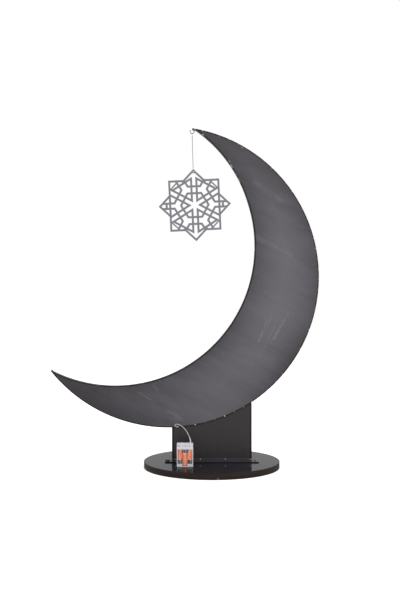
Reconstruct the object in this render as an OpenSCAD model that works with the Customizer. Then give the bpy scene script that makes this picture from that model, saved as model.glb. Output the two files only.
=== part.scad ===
// Crescent-moon light ornament on a round base, seen here from its wired side (towards -Y).
// Origin: centre of the base's underside. +Z is up and the crescent lies in the XZ plane.

/* [Base] */
// Diameter of the round base, edge band included
base_d = 400; // [340:0.5:480]
// Thickness of the base
base_t = 18.5; // [12:0.5:25]
// Thickness of the edge band round the base
base_band_t = 1; // [0.6:0.1:2]
// Rounding on the band's upper and lower corners
base_band_round = 0.5; // [0.2:0.1:0.5]

/* [Stand] */
// Width of the upright board, edge trims included
board_w = 233; // [200:1:260]
// Thickness of the upright board
board_t = 16; // [12:1:20]
// Height of the board's top above the floor, hidden between the crescent's skins
board_top = 240; // [220:1:250]
// How far the board's mid plane lies behind the base's centre line
board_back = 24.5; // [15:0.5:35]
// Width of the dark trim on each long edge of the board
trim_w = 5.5; // [3:0.5:8]
// Thickness of the trim's walls
trim_t = 0.8; // [0.5:0.1:1.5]

/* [Foot bracket] */
// Length of the steel bracket under the board
bracket_l = 273; // [265:1:290]
// Depth of the bracket, front to back
bracket_d = 33; // [28:1:38]
// Thickness of the bracket's steel
bracket_t = 3; // [2:0.5:4]
// How far the bracket's plate stands out in front of its flange
bracket_toe = 7; // [4:0.5:10]
// Height of the bracket's upturned flange above the base
flange_h = 12; // [10:0.5:20]
// Thickness of the upturned flange
flange_t = 1.5; // [1:0.1:2.5]
// Distance between the pins through the flange
pin_pitch = 73; // [60:1:74]
// Diameter of each pin's head
pin_head_d = 3.4; // [2.5:0.1:5]
// Diameter of each pin's shank
pin_shank_d = 1.6; // [1:0.1:2]
// How far each pin goes into the board
pin_depth = 8; // [5:0.5:12]

/* [Screws] */
// Head diameter of the screws that hold the bracket's ends
lug_screw_head_d = 8; // [6:0.5:10]
// Head height of those screws
lug_screw_head_h = 1.5; // [1.2:0.1:4]
// Shank diameter of those screws
lug_screw_d = 4; // [3:0.1:5]
// How far they go into the base
lug_screw_depth = 10; // [6:0.5:11]
// Distance between the long screws that come up through the base
base_screw_pitch = 80; // [60:1:95]
// Head diameter of the long screws
base_screw_head_d = 9; // [8:0.5:12]
// Shank diameter of the long screws
base_screw_d = 4.5; // [3.5:0.1:5.5]
// Length of the long screws
base_screw_l = 50; // [40:1:60]
// How deep their heads sit above the base's underside
base_screw_sunk = 0.8; // [0.5:0.1:2]

/* [Crescent] */
// Radius of the outer edge
outer_r = 439.7; // [420:0.1:450]
// Radius of the inner edge, as a share of the outer edge's
inner_radius_share = 0.9309; // [0.92:0.0001:0.935]
// Distance from the outer circle's centre to the inner circle's, in the same shares
centre_gap_share = 0.4116; // [0.405:0.0001:0.42]
// Direction in which the crescent opens, from +X
opening_angle = 150; // [145:0.2:156]
// Height of the crescent's lowest point
crescent_bottom = 120.4; // [110:0.1:130]
// How far the crescent's outer centre lies to the left of the stand, in the same shares
centre_left_share = 0.2893; // [0.27:0.0001:0.31]
// Radius of the arc that the inner edge follows near the upper tip, in the same shares
top_arc_share = 0.9004; // [0.898:0.0001:0.903]
// How far that arc's centre lies to the right of the inner centre, in the same shares
top_arc_right_share = 0.0216; // [0.02:0.0001:0.024]
// How far that arc's centre lies above the inner centre, in the same shares
top_arc_up_share = 0.033; // [0.031:0.0001:0.035]
// Thickness of each skin
skin_t = 3; // [2:0.5:4]
// Width of the rim strips
rim_t = 3; // [2.5:0.1:4]
// Angle of the outer rim's upper end about the outer centre, from +X
rim_end_angle = 80.8; // [80:0.1:81.4]
// Angle of its lower end
rim_start_angle = -141.4; // [-142:0.1:-140.5]
// Distance of the inner rim's ends from the crescent's sharp points
inner_rim_inset = 6; // [5:0.5:9]

/* [Tabs and blocks] */
// Width of the skins' tabs that sit in notches in the rims
tab_w = 9; // [6:0.5:12]
// How far each tab's root reaches into its skin
tab_root = 4; // [2:0.5:6]
// Length of the block inside the upper tip
tip_block_l = 66; // [50:1:80]
// Width of the spacer blocks between the skins
spacer_w = 28; // [20:1:40]
// Length of the spacer blocks
spacer_l = 90; // [60:1:110]
// Distance of the first nail from the upper end of the rim
first_nail_along = 8.4; // [8:0.1:11]
// Distance of the pair of nails from the upper end of the rim
nail_pair_along = 30.6; // [28:0.1:40]

/* [Light string] */
// Number of light beads
bead_count = 39; // [10:1:42]
// Angle of the first bead about the outer centre, from +X
first_bead_angle = -79.7; // [-82:0.1:-78]
// Angle of the last bead
last_bead_angle = 70; // [68:0.1:72]
// Diameter of a bead
bead_d = 3.6; // [2.5:0.1:4.5]
// Diameter of the string's wire
string_d = 0.7; // [0.4:0.1:1]
// Diameter of the sleeve where the lead joins the string
sleeve_d = 2.6; // [2:0.1:3.5]
// Length of that sleeve
sleeve_l = 6; // [5:0.5:12]
// Diameter of the lead from the battery box
lead_d = 1.7; // [1.2:0.1:2.4]

/* [Battery box] */
// Width of the box
box_w = 46.2; // [46.2:0.1:52]
// Depth of the box
box_d = 18; // [17.9:0.1:22]
// Height of the box
box_h = 66.5; // [66:0.5:80]
// Wall thickness of the case
case_wall = 1; // [0.8:0.1:1]
// Thickness of the lift-off cover
cover_t = 1.4; // [1:0.1:1.5]
// Radius of the box's upright corners
box_round = 1.2; // [0.8:0.1:2]
// Distance from the stand's centre to the box's, to the left
box_left = 77.4; // [70:0.1:90]
// Distance from the base's centre to the box's, to the front
box_front = 92.6; // [70:0.1:100]
// Distance of the lead's exit from the box's centre, to the right
exit_right = 15.6; // [10:0.1:18]

/* [Cells and contacts] */
// Diameter of an AA cell
cell_d = 14.5; // [14.2:0.1:14.5]
// Length of an AA cell, button included
cell_l = 50.5; // [49.5:0.1:50.5]
// Diameter of the cell's button
cell_button_d = 5.5; // [4.5:0.1:6]
// Height of the cell's button
cell_button_h = 1.2; // [1:0.1:1.5]
// Height of a fitted contact spring
spring_h = 4; // [3:0.1:4.5]
// Diameter of a contact spring's widest turn
spring_d = 9; // [7:0.5:11]
// Diameter of the spring's wire
spring_wire_d = 0.7; // [0.5:0.1:0.8]
// Thickness of the contact plates
plate_t = 0.4; // [0.3:0.1:0.5]

/* [Switch] */
// Length of the slide switch's body
switch_l = 8.5; // [7:0.5:10]
// Height of the slide switch's body
switch_h = 4; // [3:0.1:4.5]
// Width of the slide switch's body
switch_w = 4; // [3:0.1:5]
// Length of the switch's knob
knob_l = 2.5; // [2:0.1:3]
// Height of the knob above the box
knob_h = 1.8; // [1:0.1:3]
// Travel of the knob to each side of its middle
knob_travel = 1.5; // [1:0.1:2]

/* [Hook and pendant] */
// Diameter of the hook's wire
hook_wire_d = 2.2; // [1.8:0.1:2.6]
// Diameter of the ball on the hook's end
hook_ball_d = 2.7; // [2.4:0.1:3.2]
// Radius of the hook's bend, to the wire's middle
hook_r = 6; // [5:0.1:7]
// Distance of the hook's shank from the rim's upper end
hook_inset = 5.3; // [5:0.1:7]
// Diameter of the hanging thread, which is two strands twisted together
thread_d = 1.6; // [1.2:0.1:2]
// Inner radius of the thread's loop over the hook
loop_r = 3.2; // [2.8:0.1:4]
// Diameter of the thread's knots
knot_d = 2.4; // [2:0.1:3]
// Height of the thread's knots
knot_h = 2.2; // [1.5:0.1:3]
// Distance from the star's centre to its points
star_r = 106; // [90:1:115]
// Thickness of the star
star_t = 3; // [2:0.5:4]
// Width of the star's outer bars
frame_bar_w = 5.9; // [4.5:0.1:6.5]
// Width of the star's lattice bars
lattice_bar_w = 6.1; // [4.5:0.1:6.5]
// Width of the thin bars across the square's corners
corner_bar_w = 4.2; // [3:0.1:5]
// Diameter of the hole that the thread goes through
star_hole_d = 3.2; // [2.8:0.1:3.4]
// Tilt of the thread as it hangs in the photographed pose
cord_lean = 1.7; // [0:0.1:4]
// Tilt of the star as it hangs in the photographed pose
star_lean = 2.6; // [0:0.1:5]

/* [Hidden] */
$fn = 64;
// Clearance between pieces that are fastened to each other
fit_gap = 0.05;
// Clearance between pieces that move past each other
run_gap = 0.1;
// Clearance round the cells and in the notches
loose_gap = 0.2;
// Overrun of every cut
over = 1;
round_fn = 180;

// Board, skins and rims, from the wired side towards +Y
board_front = -board_back - board_t / 2;
board_rear = board_front + board_t;
skin_front = board_front - skin_t;
skin_rear = board_rear + skin_t;
depth_all = skin_rear - skin_front;
board_foot = base_t + bracket_t;
core_w = board_w - 2 * trim_t;

// Circles of the crescent, as [x, z]
inner_r = outer_r * inner_radius_share;
top_arc_r = outer_r * top_arc_share;
outer_c = [-outer_r * centre_left_share, crescent_bottom + outer_r];
inner_c = outer_c + outer_r * centre_gap_share * [cos(opening_angle), sin(opening_angle)];
top_arc_c = inner_c + outer_r * [top_arc_right_share, top_arc_up_share];

// Point where two circles meet; side is 1 or -1
function circles_meet(c1, r1, c2, r2, side) =
    let (
        d = norm(c2 - c1),
        u = (c2 - c1) / d,
        a = (r1 * r1 - r2 * r2 + d * d) / (2 * d),
        h = sqrt(r1 * r1 - a * a)
    )
    c1 + a * u + side * h * [-u[1], u[0]];

// Greatest distance of the top arc beyond the inner circle
top_arc_swell = norm(top_arc_c - inner_c) + top_arc_r - inner_r;

upper_tip = circles_meet(outer_c, outer_r, top_arc_c, top_arc_r, -1);
lower_tip = circles_meet(outer_c, outer_r, inner_c, inner_r, 1);

// Direction from a tip into the crescent's body, midway between its two edges
function tip_heading(tip, c, r, turn) =
    let (
        a = (tip - outer_c) / outer_r,
        b = (tip - c) / r,
        h = turn * ([-a[1], a[0]] + [-b[1], b[0]])
    )
    h / norm(h);

upper_heading = tip_heading(upper_tip, top_arc_c, top_arc_r, -1);
lower_heading = tip_heading(lower_tip, inner_c, inner_r, 1);

rim_end_x = outer_c[0] + outer_r * cos(rim_end_angle);

// Angles of the skins' tabs about the outer and the inner centre, as photographed
outer_tab_angles = [76, 10, -12, -30, -51, -109, -131];
inner_tab_angles = [51.4, 19.5, -1.4, -22.2, -42, -60.9, -78.7, -96.6];
// Turn of the inner rim's nail from the middle of the uppermost of those tabs
inner_nail_turn = -0.3;
// Angles of the three spacer blocks about the outer centre
spacer_angles = [44, -4, -122];

// Light string: its middle line on the outer rim's wired edge
string_r = outer_r - rim_t / 2;
bead_step = (last_bead_angle - first_bead_angle) / (bead_count - 1);
sleeve_angle = -86.9;
sleeve_turn = sleeve_l / string_r * 180 / PI;
bead_turn = bead_d / string_r * 180 / PI;
string_y = skin_front - fit_gap - string_d / 2;
sleeve_y = skin_front - fit_gap - sleeve_d / 2;
// Share of a bead's radius by which its centre stands off the rim
bead_stand_share = 0.35;

// Foot bracket, its pins and the screws
pin_shift = 3.4;
pin_drop = 2.4;
pin_head_h = 0.8;
nail_d = 1.2;
nail_head_d = 2.8;
lug_x = (bracket_l + board_w) / 4;

// Battery box, its corner on the base
box_x = -box_left;
box_y = -box_front;
box_z = base_t;
tray_d = box_d - cover_t - run_gap;
tray_y = -box_d / 2 + cover_t + run_gap;
cell_pitch = cell_d + loose_gap / 2;
cell_y = box_d / 2 - case_wall - loose_gap - cell_d / 2;
bay_floor = case_wall;
bay_h = 2 * plate_t + spring_h + cell_l;
shelf_z = bay_floor + bay_h;
upper_bay_z = shelf_z + case_wall;
upper_bay_h = box_h - case_wall - upper_bay_z;
plate_side_share = 0.9;
spring_turns = 3.5;
spring_rings = 8;
spring_top_share = 0.55;
board_chip_share = 0.3;
chip_place_shares = [0.25, 0.7];
rib_start_share = 0.2;
rib_length_share = 0.6;
pcb_t = 1;
pcb_l = 22;
screw_x = 7;
boss_d = 5;
cover_screw_d = 2;
cover_screw_head_d = 4;
cover_screw_head_h = 1.2;
cover_screw_l = 9;
rib_w = 1.2;
rib_h = 0.5;
gland_d = 4.4;
gland_stem_d = 3;
gland_h = 1.5;
switch_x = -9;
knob_w = 2;

// Hook: its shank's place, and its bend's centre just under the inner edge
shank_x = rim_end_x + hook_inset;
shank_edge_z = outer_c[1] + sqrt(outer_r * outer_r - pow(shank_x - outer_c[0], 2));
hook_drop = 7;
hook_cx = shank_x - hook_r;
hook_cz = shank_edge_z - hook_drop;
hook_start = 145;
hook_turn = 215;
shank_d = hook_wire_d + 2 * fit_gap;
shank_lap = 2 * loose_gap;
shank_top = shank_edge_z - rim_t / 4;

// Thread loops, each of one strand: the upper one hangs on the hook's wire, the lower one goes
// through the star
loop_wire_share = 0.5;
loop_wire_d = thread_d * loop_wire_share;
loop_mid_r = loop_r + loop_wire_d / 2;
hook_low_z = hook_cz - hook_r;
loop_cz = hook_low_z + hook_wire_d / 2 + fit_gap - loop_r;
swing_z = loop_cz - loop_mid_r;
knot_top = -loop_wire_d / 2 - run_gap;
star_knot_h = knot_h;
star_loop_r = 4.4;
star_loop_z = -star_knot_h - run_gap - loop_wire_d / 2 - star_loop_r;
star_loop_bow = star_loop_r - sqrt(star_loop_r * star_loop_r - star_t * star_t / 4);
hole_z = star_loop_z - star_loop_r + star_loop_bow + loop_wire_d / 2 + fit_gap - star_hole_d / 2;
// Width of the eyelet round the star's hole, and the hole's distance below the star's point
eyelet_w = 3.2;
hole_drop = 8.2;
star_z = hole_z + hole_drop - star_r;

// Lattice of the star, in shares of its radius
arm_half_share = 0.0723;
hexagon_share = 0.329;
rung_share = 0.5191;
outer_hexagon_share = 0.674;
end_rung_share = 0.7776;
corner_cut_share = 0.307;
slant_half_share = 0.0886;
wide_half_share = 0.1107;

// Route of the hanging thread below its swing point
thread_points = [[0, 0, -2.8], [0, 0, -20], [0, 0, -38], [0, 0, -56], [0, 0, -74], [0, 0, -94]];

// Route of the lead: its points up from the box's gland, then those down to the string's sleeve
gland_end = [box_x + exit_right, box_y, box_z + box_h + gland_h];
sleeve_end = [outer_c[0] + string_r * cos(sleeve_angle), sleeve_y, outer_c[1] + string_r * sin(sleeve_angle)];
rise_points = [
    [0, 0, 0], [0, 0, 5], [-1.7, 2, 11.5], [-5, 6.8, 18.8], [-9.7, 13.6, 26.3], [-15.5, 22.4, 33.3]
];
fall_points = [
    [19.5, -23.9, 2.9], [12.6, -16.1, 6.5], [6.6, -10.2, 8.4], [2.4, -6.6, 8.9], [-1.2, -4.2, 8.2],
    [-3.7, -2.8, 5.9], [-4.3, -1.9, 3.2], [-3.2, -1.1, 1.2], [-1.6, -0.45, 0.25], [-0.1, -0.05, 0]
];
lead_points = concat([for (p = rise_points) gland_end + p], [for (p = fall_points) sleeve_end + p]);
lead_steps = 2;
thread_steps = 5;
cord_sides = 8;
swing_end = thread_points[len(thread_points) - 1][2];

// Extrudes a drawing of the XZ plane from y = far towards the wired side
module upright(far, depth) {
    translate([0, far, 0]) rotate([90, 0, 0]) linear_extrude(depth) children();
}

// Cylinder along -Y whose far end is at y = far
module peg(x, far, z, d, l) {
    translate([x, far, z]) rotate([90, 0, 0]) cylinder(d = d, h = l);
}

// Part of a ring of round wire in the XZ plane, from angle a over angle turn
module wire_arc(r, d, a, turn) {
    rotate([90, 0, 0]) rotate([0, 0, a]) rotate_extrude(angle = turn, $fn = round_fn)
        translate([r, 0]) circle(d = d, $fn = 24);
}

// Points of a smooth curve through the given points
function curve_point(p, i, t) =
    let (
        n = len(p) - 1,
        a = p[max(i - 1, 0)],
        b = p[i],
        c = p[i + 1],
        e = p[min(i + 2, n)]
    )
    0.5 * (2 * b + (c - a) * t + (2 * a - 5 * b + 4 * c - e) * t * t + (3 * b - a - 3 * c + e) * t * t * t);

function curve(p, steps) =
    concat([for (i = [0 : len(p) - 2], k = [0 : steps - 1]) curve_point(p, i, k / steps)], [p[len(p) - 1]]);

function unit(v) = v / norm(v);

// Round tube along a list of points; ref is a direction that the route never follows
module tube(p, d, sides, ref) {
    n = len(p);
    tangents = [for (i = [0 : n - 1]) unit(p[min(i + 1, n - 1)] - p[max(i - 1, 0)])];
    rings = [
        for (i = [0 : n - 1])
            let (u = unit(cross(tangents[i], ref)), v = cross(tangents[i], u))
            for (k = [0 : sides - 1])
                p[i] + d / 2 * (cos(360 * k / sides) * u + sin(360 * k / sides) * v)
    ];
    walls = [
        for (i = [0 : n - 2], k = [0 : sides - 1])
            let (
                a = i * sides + k,
                b = i * sides + (k + 1) % sides,
                c = a + sides,
                e = b + sides
            )
            each [[a, c, b], [b, c, e]]
    ];
    first = [for (k = [0 : sides - 1]) k];
    last = [for (k = [sides - 1 : -1 : 0]) (n - 1) * sides + k];
    polyhedron(points = rings, faces = concat([first], walls, [last]));
}

// Rectangle with round corners, centred in x and standing on y = 0
module round_rect(w, h, r) {
    translate([-w / 2, r]) square([w, h - 2 * r]);
    translate([-w / 2 + r, 0]) square([w - 2 * r, h]);
    for (x = [-w / 2 + r, w / 2 - r], y = [r, h - r])
        translate([x, y]) circle(r = r);
}

module outer_disc(inset) {
    translate(outer_c) circle(r = outer_r - inset, $fn = round_fn);
}

// The space inside the crescent: the main circle and the flatter arc near the upper tip
module inner_discs(grow) {
    translate(inner_c) circle(r = inner_r + grow, $fn = round_fn);
    translate(top_arc_c) circle(r = top_arc_r + grow, $fn = round_fn);
}

// Everything beyond the inner rim's end at one tip
module beyond_tip(tip, heading) {
    translate(tip) rotate(atan2(heading[1], heading[0])) translate([-outer_r / 4, -outer_r / 8])
        square([outer_r / 4 + inner_rim_inset, outer_r / 4]);
}

module crescent(inset) {
    difference() {
        outer_disc(inset);
        inner_discs(inset);
    }
}

// Radial strips where the tabs lie, on the outer or the inner edge
module tab_strips(c, r_low, r_high, angles, w) {
    for (a = angles)
        translate(c) rotate(a) translate([r_low, -w / 2]) square([r_high - r_low, w]);
}

module outer_tabs(w) {
    tab_strips(outer_c, outer_r - rim_t - tab_root, outer_r + over, outer_tab_angles, w);
}

module inner_tabs(w) {
    tab_strips(inner_c, inner_r - over, inner_r + rim_t + tab_root + top_arc_swell, inner_tab_angles, w);
}

// Angle about the outer centre at a distance along the rim from its upper end
function nail_angle(along) = rim_end_angle - along / outer_r * 180 / PI;
function inner_edge_z(x) = top_arc_c[1] + sqrt(top_arc_r * top_arc_r - pow(x - top_arc_c[0], 2));

// The three nails at the upper tip: two in the outer rim and one through the inner rim's uppermost tab
module nail_places() {
    for (along = [first_nail_along, nail_pair_along])
        translate(outer_c) rotate(nail_angle(along)) translate([string_r, 0]) children();
    low_x = inner_c[0] + inner_r * cos(inner_tab_angles[0] + inner_nail_turn);
    turn = atan2(inner_edge_z(low_x) - top_arc_c[1], low_x - top_arc_c[0]);
    translate(top_arc_c) rotate(turn) translate([top_arc_r + rim_t / 2, 0]) children();
}

module base_disc() {
    color([0.13, 0.12, 0.12]) difference() {
        cylinder(d = base_d - 2 * base_band_t - 2 * fit_gap, h = base_t, $fn = round_fn);
        for (x = [-1, 0, 1] * base_screw_pitch)
            translate([x, -board_back, 0]) base_screw_space();
        for (x = [-lug_x, lug_x])
            translate([x, -board_back, base_t - lug_screw_depth - over])
                cylinder(d = lug_screw_d + 2 * fit_gap, h = lug_screw_depth + 2 * over);
    }
}

// Countersink and bore for one long screw, a little wider than the screw
module base_screw_space() {
    translate([0, 0, -over]) cylinder(d = base_screw_d + 2 * fit_gap, h = base_t + 2 * over);
    translate([0, 0, -over]) cylinder(d = base_screw_head_d + 2 * loose_gap, h = base_screw_sunk + over);
    translate([0, 0, base_screw_sunk - fit_gap])
        cylinder(d1 = base_screw_head_d + 2 * loose_gap, d2 = 2 * loose_gap,
            h = base_screw_head_d / 2);
}

module base_edge_band() {
    color([0.2, 0.16, 0.15]) rotate_extrude($fn = round_fn) difference() {
        translate([base_d / 2 - base_band_t, 0]) square([base_band_t, base_t]);
        for (z = [base_band_round, base_t - base_band_round])
            difference() {
                translate([base_d / 2 - base_band_round, z - base_band_round])
                    square([base_band_round + over, 2 * base_band_round]);
                translate([base_d / 2 - base_band_round, z]) circle(r = base_band_round);
                translate([base_d / 2 - base_band_t, min(z, base_t / 2)])
                    square([base_band_t + 2 * over, abs(base_t / 2 - z)]);
            }
    }
}

module base_screws() {
    color("silver") for (x = [-1, 0, 1] * base_screw_pitch)
        translate([x, -board_back, base_screw_sunk]) {
            cylinder(d = base_screw_d, h = base_screw_l);
            cylinder(d1 = base_screw_head_d, d2 = base_screw_d,
                h = (base_screw_head_d - base_screw_d) / 2);
        }
}

module foot_bracket() {
    flange_front = board_front - flange_t;
    color([0.08, 0.08, 0.09]) difference() {
        union() {
            translate([-bracket_l / 2, flange_front - bracket_toe, base_t])
                cube([bracket_l, bracket_d, bracket_t]);
            translate([-board_w / 2, flange_front, base_t]) cube([board_w, flange_t, flange_h]);
        }
        for (x = [-1, 0, 1] * base_screw_pitch)
            translate([x, -board_back, base_t - over])
                cylinder(d = base_screw_d + 2 * fit_gap, h = bracket_t + 2 * over);
        for (x = [-lug_x, lug_x])
            translate([x, -board_back, base_t - over])
                cylinder(d = lug_screw_d + 2 * fit_gap, h = bracket_t + 2 * over);
        bracket_pin_rows(pin_shank_d + 2 * fit_gap, board_front + over, flange_t + 2 * over);
    }
}

// Cylinders at the places of the pins through the bracket's flange
module bracket_pin_rows(d, far, l) {
    for (i = [-1.5 : 1 : 1.5])
        peg(pin_shift + i * pin_pitch, far, base_t + flange_h - pin_drop, d, l);
}

module bracket_lug_screws() {
    color([0.15, 0.15, 0.16]) for (x = [-lug_x, lug_x])
        translate([x, -board_back, board_foot]) {
            translate([0, 0, -bracket_t - lug_screw_depth])
                cylinder(d = lug_screw_d, h = bracket_t + lug_screw_depth);
            difference() {
                cylinder(d = lug_screw_head_d, h = lug_screw_head_h);
                for (turn = [0, 90])
                    rotate(turn) translate([0, 0, lug_screw_head_h])
                        cube([lug_screw_head_d / 2, lug_screw_head_d / 8, lug_screw_head_h], center = true);
            }
        }
}

module bracket_pins() {
    color("silver") {
        bracket_pin_rows(pin_shank_d, board_front - flange_t + pin_depth, pin_depth);
        bracket_pin_rows(pin_head_d, board_front - flange_t, pin_head_h);
    }
}

module stand_board() {
    color([0.19, 0.18, 0.19]) difference() {
        translate([-core_w / 2, board_front, board_foot]) cube([core_w, board_t, board_top - board_foot]);
        for (x = [-1, 0, 1] * base_screw_pitch)
            translate([x, -board_back, board_foot - over])
                cylinder(d = base_screw_d + 2 * fit_gap,
                    h = base_screw_sunk + base_screw_l - board_foot + 2 * over);
        bracket_pin_rows(pin_shank_d + 2 * fit_gap, board_front + pin_depth, pin_depth + over);
        for (side = [-1, 1], y = [board_front, board_rear])
            translate([side * (board_w - trim_w) / 2, y, trim_mid(side)])
                cube([trim_w + loose_gap, 2 * trim_t + 2 * fit_gap, trim_l(side) + 2 * fit_gap], center = true);
    }
}

// The trims start above the bracket's flange and end just under the crescent's rim
trim_foot = base_t + flange_h + loose_gap;
function rim_height(x) = outer_c[1] - sqrt(outer_r * outer_r - pow(x - outer_c[0], 2));
function trim_l(side) =
    min(rim_height(side * board_w / 2), rim_height(side * (board_w / 2 - trim_w))) - loose_gap - trim_foot;
function trim_mid(side) = trim_foot + trim_l(side) / 2;

module stand_edge_trims() {
    color([0.05, 0.05, 0.05]) for (side = [-1, 1]) difference() {
        translate([side * (board_w - trim_w) / 2, -board_back, trim_mid(side)])
            cube([trim_w, board_t, trim_l(side)], center = true);
        translate([side * (board_w / 2 - trim_t - trim_w), -board_back, trim_mid(side)])
            cube([2 * trim_w, board_t - 2 * trim_t, trim_l(side) + over], center = true);
    }
}

// Outline of a skin: inside the rims, with tabs that reach their outer faces
module skin_outline() {
    crescent(rim_t + fit_gap);
    intersection() {
        crescent(0);
        union() {
            outer_tabs(tab_w);
            inner_tabs(tab_w);
        }
    }
}

module back_skin() {
    color([0.36, 0.36, 0.38]) difference() {
        upright(board_front, skin_t) skin_outline();
        nail_holes();
    }
}

module front_skin() {
    color([0.1, 0.1, 0.1]) upright(skin_rear, skin_t) skin_outline();
}

// Notches for the tabs, on both edges of a rim
module notches() {
    upright(board_front + fit_gap, skin_t + over) children();
    upright(skin_rear + over, skin_t + fit_gap + over) children();
}

module outer_rim() {
    color([0.04, 0.04, 0.04]) difference() {
        upright(skin_rear, depth_all) difference() {
            outer_disc(0);
            outer_disc(rim_t);
            rim_opening();
        }
        notches() outer_tabs(tab_w + 2 * fit_gap);
        translate([-core_w / 2 - loose_gap, board_front - fit_gap, 0])
            cube([core_w + 2 * loose_gap, board_t + 2 * fit_gap, board_top]);
        shank_hole();
        nail_holes();
    }
}

// The part of a turn, on the crescent's open side, over which there is no outer rim
module rim_opening() {
    reach = 3 * outer_r;
    middle = (rim_end_angle + rim_start_angle + 360) / 2;
    translate(outer_c) polygon([
        [0, 0], polar(reach, rim_end_angle), polar(reach, middle), polar(reach, rim_start_angle + 360)
    ]);
}

module nail_holes() {
    upright(skin_front + pin_depth, pin_depth + over) nail_places() circle(d = nail_d + 2 * fit_gap);
}

module inner_rim() {
    color([0.04, 0.04, 0.04]) difference() {
        upright(skin_rear, depth_all) intersection() {
            difference() {
                inner_discs(rim_t);
                inner_discs(0);
                beyond_tip(upper_tip, upper_heading);
                beyond_tip(lower_tip, lower_heading);
            }
            outer_disc(rim_t + fit_gap);
        }
        notches() inner_tabs(tab_w + 2 * fit_gap);
        nail_holes();
    }
}

// Hole for the hook's shank in the outer rim's upper end
module shank_hole() {
    translate([shank_x, -board_back, hook_cz])
        cylinder(d = shank_d + 2 * fit_gap, h = shank_top - hook_cz + fit_gap);
}

// Space between the skins and inside the rims
module core_outline() {
    crescent(rim_t + 2 * fit_gap);
}

module tip_block(tip) {
    color("burlywood") upright(board_rear - fit_gap, board_t - 2 * fit_gap) intersection() {
        core_outline();
        translate(tip) circle(r = tip_block_l);
    }
}

module upper_tip_block() {
    tip_block(upper_tip);
}

module lower_tip_block() {
    tip_block(lower_tip);
}

module spacer_blocks() {
    color("burlywood") upright(board_rear - fit_gap, board_t - 2 * fit_gap) intersection() {
        core_outline();
        for (a = spacer_angles)
            translate(outer_c) rotate(a) translate([outer_r - rim_t - spacer_l, -spacer_w / 2])
                square([spacer_l + over, spacer_w]);
    }
}

module tip_nails() {
    color("silver") {
        upright(skin_front + pin_depth, pin_depth) nail_places() circle(d = nail_d);
        upright(skin_front, pin_head_h) nail_places() circle(d = nail_head_d);
    }
}

// Arc of wire on the light string's middle line
module string_arc(d, y, a, turn) {
    translate([outer_c[0], y, outer_c[1]]) wire_arc(string_r, d, a, turn);
}

module string_wire() {
    first_a = sleeve_angle + sleeve_turn;
    color([0.72, 0.45, 0.3]) {
        string_arc(string_d, string_y, first_a, first_bead_angle - bead_turn / 2 - first_a);
        for (i = [0 : bead_count - 2])
            string_arc(string_d, string_y, first_bead_angle + i * bead_step + bead_turn / 2,
                bead_step - bead_turn);
    }
}

module string_beads() {
    color([0.95, 0.9, 0.7]) for (i = [0 : bead_count - 1])
        let (a = first_bead_angle + i * bead_step)
        translate([outer_c[0] + string_r * cos(a), skin_front, outer_c[1] + string_r * sin(a)])
            rotate([90, 0, 0]) rotate_extrude() intersection() {
                translate([0, bead_stand_share * bead_d / 2]) circle(d = bead_d);
                translate([0, fit_gap]) square(bead_d);
            }
}

module lead_sleeve() {
    color([0.75, 0.73, 0.7]) string_arc(sleeve_d, sleeve_y, sleeve_angle, sleeve_turn);
}

module lead_wire() {
    color([0.8, 0.8, 0.78]) tube(curve(lead_points, lead_steps), lead_d, cord_sides, [0, 1, 0]);
}

// Places what follows in the battery box's frame: x and y at its middle, z at its foot
module in_box() {
    translate([box_x, box_y, box_z]) children();
}

module battery_case() {
    color([0.85, 0.9, 0.92, 0.4]) in_box() difference() {
        union() {
            difference() {
                translate([0, tray_y, 0]) tray_block();
                for (bay = [[bay_floor, bay_h], [upper_bay_z, upper_bay_h]])
                    translate([-box_w / 2 + case_wall, tray_y - over, bay[0]])
                        cube([box_w - 2 * case_wall, tray_d - case_wall + over, bay[1]]);
            }
            peg(screw_x, box_d / 2 - case_wall / 2, upper_bay_z + upper_bay_h / 2, boss_d,
                tray_d - case_wall / 2);
        }
        peg(screw_x, box_d / 2 - case_wall, upper_bay_z + upper_bay_h / 2,
            cover_screw_d + 2 * fit_gap, tray_d);
        translate([exit_right, 0, box_h - case_wall - over])
            cylinder(d = gland_stem_d + 2 * fit_gap, h = case_wall + 2 * over);
        translate([switch_x, 0, box_h])
            cube([knob_l + 2 * knob_travel + 2 * loose_gap, knob_w + 2 * loose_gap,
                2 * (case_wall + over)], center = true);
    }
}

// The tray's outer block, with its two far upright corners rounded
module tray_block() {
    translate([-box_w / 2, 0, 0]) cube([box_w, tray_d - box_round, box_h]);
    translate([-box_w / 2 + box_round, 0, 0]) cube([box_w - 2 * box_round, tray_d, box_h]);
    for (x = [-box_w / 2 + box_round, box_w / 2 - box_round])
        translate([x, tray_d - box_round, 0]) cylinder(r = box_round, h = box_h);
}

module case_cover() {
    color([0.85, 0.9, 0.92, 0.4]) in_box() difference() {
        union() {
            translate([0, -box_d / 2 + cover_t, 0]) rotate([90, 0, 0])
                linear_extrude(cover_t) round_rect(box_w, box_h, box_round);
            for (x = [-1, 0, 1] * cell_pitch)
                translate([x - rib_w / 2, -box_d / 2 - rib_h, bay_floor + cell_l * rib_start_share])
                    cube([rib_w, rib_h + cover_t / 2, cell_l * rib_length_share]);
        }
        peg(screw_x, -box_d / 2 + cover_t + over, upper_bay_z + upper_bay_h / 2,
            cover_screw_d + 2 * fit_gap, cover_t + 2 * over);
    }
}

module cover_screw() {
    color("silver") in_box() translate([screw_x, 0, upper_bay_z + upper_bay_h / 2]) {
        peg(0, -box_d / 2 + cover_screw_l, 0, cover_screw_d, cover_screw_l);
        difference() {
            peg(0, -box_d / 2, 0, cover_screw_head_d, cover_screw_head_h);
            for (turn = [0, 90])
                translate([0, -box_d / 2 - cover_screw_head_h, 0]) rotate([0, turn, 0])
                    cube([cover_screw_head_d / 2, cover_screw_head_h, cover_screw_head_d / 8], center = true);
        }
    }
}

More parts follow.
